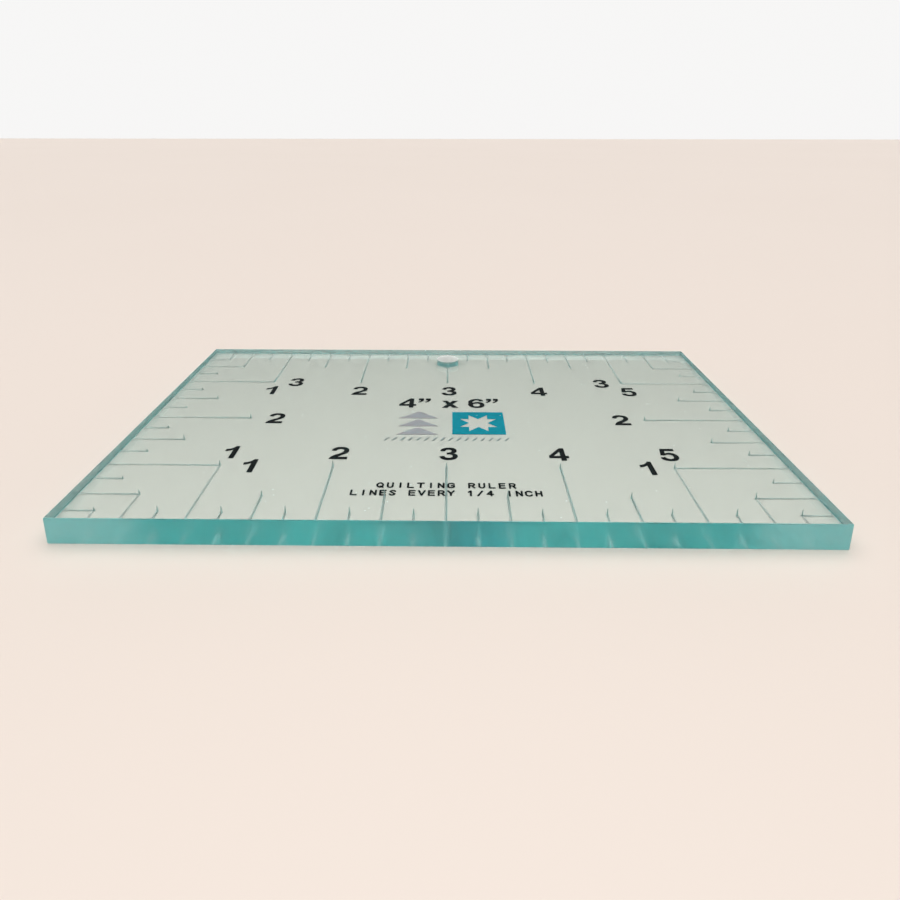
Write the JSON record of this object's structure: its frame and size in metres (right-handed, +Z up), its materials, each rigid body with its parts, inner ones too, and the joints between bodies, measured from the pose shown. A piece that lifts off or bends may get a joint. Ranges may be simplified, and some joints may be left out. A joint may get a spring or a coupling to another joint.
{
  "type": "quilting ruler",
  "caption": "Clear acrylic rectangular quilting ruler with lines engraved in from every edge on its underside, printed inch numerals, and a hanging hole in one long side.",
  "frame": {"origin": "centre of the underside, on the surface the ruler lies on", "axes": "+X along the length to the right as the numerals are read, +Y across the width to the edge with the hanging hole, +Z up out of the top face"},
  "size_m": [0.1524, 0.1016, 0.0056],
  "materials": {
    "clear_acrylic": "clear, faintly green, polished",
    "black_ink": "cured print",
    "grey_ink": "cured print",
    "light_grey_ink": "cured print",
    "teal_ink": "cured print"
  },
  "bodies": {
    "root": {"acrylic_plate": "clear_acrylic", "front_numeral_1": "black_ink", "front_numeral_2": "black_ink", "front_numeral_3": "black_ink", "front_numeral_4": "black_ink", "front_numeral_5": "black_ink", "back_numeral_1": "black_ink", "back_numeral_2": "black_ink", "back_numeral_3": "black_ink", "back_numeral_4": "black_ink", "back_numeral_5": "black_ink", "left_numeral_1": "black_ink", "left_numeral_2": "black_ink", "left_numeral_3": "black_ink", "right_numeral_1": "black_ink", "right_numeral_2": "black_ink", "right_numeral_3": "black_ink", "size_label": "black_ink", "grey_geese_motif": "light_grey_ink", "teal_star_motif": "teal_ink", "grey_stitch_row": "grey_ink", "note_line_upper": "black_ink", "note_line_lower": "black_ink"}
  },
  "joints": []
}
